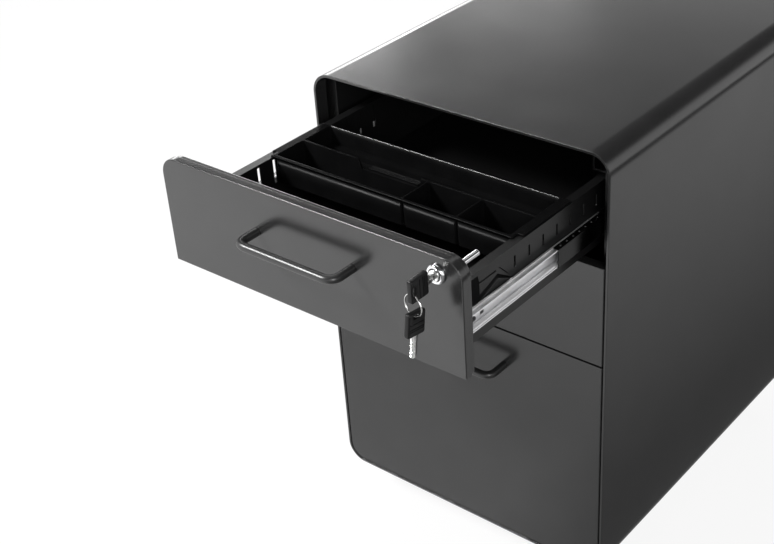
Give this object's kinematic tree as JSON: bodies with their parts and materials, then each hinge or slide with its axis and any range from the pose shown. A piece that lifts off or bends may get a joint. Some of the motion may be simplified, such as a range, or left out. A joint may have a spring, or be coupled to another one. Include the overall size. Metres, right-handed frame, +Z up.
{
  "type": "mobile drawer pedestal",
  "caption": "Under-desk steel pedestal with rounded edges on casters: box drawers over a file drawer, top drawer open with an organiser tray and keys in its lock.",
  "frame": {"origin": "on the floor below the middle of the whole object as stored, with its top drawer open", "axes": "+Z up, the drawers open towards -Y, +X to the right of someone facing the drawers"},
  "size_m": [0.4, 0.7869, 0.61],
  "materials": {
    "painted_steel": "satin black powder coat",
    "painted_inside": "satin black powder coat, drawer boxes",
    "zinc": "bright zinc-plated steel",
    "chrome": "polished chrome plate",
    "nickel": "nickel plate, lightly worn",
    "tray_plastic": "black moulded plastic",
    "black_plastic": "black moulded plastic"
  },
  "bodies": {
    "case": {"case_wrap": "painted_steel", "back_panel": "painted_steel", "liner_left": "painted_steel", "liner_right": "painted_steel", "base_channel_front": "zinc", "base_channel_rear": "zinc", "top_slide_case_left": "zinc", "top_slide_case_right": "zinc", "middle_slide_case_left": "zinc", "middle_slide_case_right": "zinc", "bottom_slide_case_left": "zinc", "bottom_slide_case_right": "zinc"},
    "lock_bar": {"lock_bar": "zinc"},
    "top_drawer": {"top_front": "painted_steel", "top_front_cover": "painted_steel", "top_handle": "painted_steel", "top_box": "painted_inside", "top_slide_drawer_left": "zinc", "top_slide_drawer_right": "zinc", "lock_body": "chrome"},
    "top_cages": {"top_slide_cage_left": "zinc", "top_slide_cage_right": "zinc"},
    "tray": {"tray": "tray_plastic"},
    "lock_cylinder": {"lock_plug": "nickel", "lock_rod": "chrome", "key": "black_plastic", "key_blade": "nickel"},
    "key_ring": {"key_ring": "nickel"},
    "spare_key": {"spare_key": "black_plastic", "spare_key_blade": "nickel"},
    "middle_drawer": {"middle_front": "painted_steel", "middle_front_cover": "painted_steel", "middle_handle": "painted_steel", "middle_box": "painted_inside", "middle_catch": "zinc", "middle_slide_drawer_left": "zinc", "middle_slide_drawer_right": "zinc"},
    "middle_cages": {"middle_slide_cage_left": "zinc", "middle_slide_cage_right": "zinc"},
    "bottom_drawer": {"bottom_front": "painted_steel", "bottom_front_cover": "painted_steel", "bottom_handle": "painted_steel", "bottom_box": "painted_inside", "bottom_catch": "zinc", "file_rail_left": "zinc", "file_rail_right": "zinc", "bottom_slide_drawer_left": "zinc", "bottom_slide_drawer_right": "zinc"},
    "bottom_middles": {"bottom_slide_middle_left": "zinc", "bottom_slide_middle_right": "zinc"},
    "swivel_front_left": {"caster_yoke_front_left": "black_plastic"},
    "wheels_front_left": {"caster_wheels_front_left": "black_plastic"},
    "swivel_front_right": {"caster_yoke_front_right": "black_plastic"},
    "wheels_front_right": {"caster_wheels_front_right": "black_plastic"},
    "swivel_rear_left": {"caster_yoke_rear_left": "black_plastic"},
    "wheels_rear_left": {"caster_wheels_rear_left": "black_plastic"},
    "swivel_rear_right": {"caster_yoke_rear_right": "black_plastic"},
    "wheels_rear_right": {"caster_wheels_rear_right": "black_plastic"}
  },
  "joints": [
    {"name": "top_drawer_slide", "type": "slide", "parent": "case", "child": "top_drawer", "axis": [0, -1, 0], "range_m": [-0.2373, 0.0627]},
    {"name": "top_cage_slide", "type": "slide", "parent": "case", "child": "top_cages", "axis": [0, -1, 0], "range_m": [-0.1187, 0.0314]},
    {"name": "tray_slide", "type": "slide", "parent": "top_drawer", "child": "tray", "axis": [0, 1, 0], "range_m": [-0.102, 0.212]},
    {"name": "key_turn", "type": "hinge", "parent": "top_drawer", "child": "lock_cylinder", "pos_m": [0.1662, -0.34384, 0.5868], "axis": [0, 1, 0], "range_deg": [0, 90]},
    {"name": "key_ring_swing", "type": "hinge", "parent": "lock_cylinder", "child": "key_ring", "pos_m": [0.1662, -0.37864, 0.58345], "axis": [1, 0, 0], "range_deg": [-50, 15]},
    {"name": "spare_key_swing", "type": "hinge", "parent": "key_ring", "child": "spare_key", "pos_m": [0.1662, -0.37864, 0.56045], "axis": [1, 0, 0], "range_deg": [-20, 22]},
    {"name": "middle_drawer_slide", "type": "slide", "parent": "case", "child": "middle_drawer", "axis": [0, -1, 0], "range_m": [0, 0.3]},
    {"name": "middle_cage_slide", "type": "slide", "parent": "case", "child": "middle_cages", "axis": [0, -1, 0], "range_m": [0, 0.15]},
    {"name": "bottom_drawer_slide", "type": "slide", "parent": "case", "child": "bottom_drawer", "axis": [0, -1, 0], "range_m": [0, 0.4]},
    {"name": "bottom_middle_slide", "type": "slide", "parent": "case", "child": "bottom_middles", "axis": [0, -1, 0], "range_m": [0, 0.2]},
    {"name": "lock_bar_lift", "type": "slide", "parent": "case", "child": "lock_bar", "axis": [0, 0, 1], "range_m": [0, 0.008]},
    {"name": "front_left_swivel", "type": "hinge", "parent": "case", "child": "swivel_front_left", "pos_m": [-0.152, -0.04454, 0.04], "axis": [0, 0, 1], "continuous": true},
    {"name": "front_left_roll", "type": "hinge", "parent": "swivel_front_left", "child": "wheels_front_left", "pos_m": [-0.152, -0.03054, 0.019], "axis": [1, 0, 0], "continuous": true},
    {"name": "front_right_swivel", "type": "hinge", "parent": "case", "child": "swivel_front_right", "pos_m": [0.152, -0.04454, 0.04], "axis": [0, 0, 1], "continuous": true},
    {"name": "front_right_roll", "type": "hinge", "parent": "swivel_front_right", "child": "wheels_front_right", "pos_m": [0.152, -0.03054, 0.019], "axis": [1, 0, 0], "continuous": true},
    {"name": "rear_left_swivel", "type": "hinge", "parent": "case", "child": "swivel_rear_left", "pos_m": [-0.152, 0.32546, 0.04], "axis": [0, 0, 1], "continuous": true},
    {"name": "rear_left_roll", "type": "hinge", "parent": "swivel_rear_left", "child": "wheels_rear_left", "pos_m": [-0.152, 0.33946, 0.019], "axis": [1, 0, 0], "continuous": true},
    {"name": "rear_right_swivel", "type": "hinge", "parent": "case", "child": "swivel_rear_right", "pos_m": [0.152, 0.32546, 0.04], "axis": [0, 0, 1], "continuous": true},
    {"name": "rear_right_roll", "type": "hinge", "parent": "swivel_rear_right", "child": "wheels_rear_right", "pos_m": [0.152, 0.33946, 0.019], "axis": [1, 0, 0], "continuous": true}
  ],
  "couplings": [
    {"joint": "top_cage_slide", "follows": "top_drawer_slide", "ratio": 0.5},
    {"joint": "middle_cage_slide", "follows": "middle_drawer_slide", "ratio": 0.5},
    {"joint": "bottom_middle_slide", "follows": "bottom_drawer_slide", "ratio": 0.5}
  ]
}
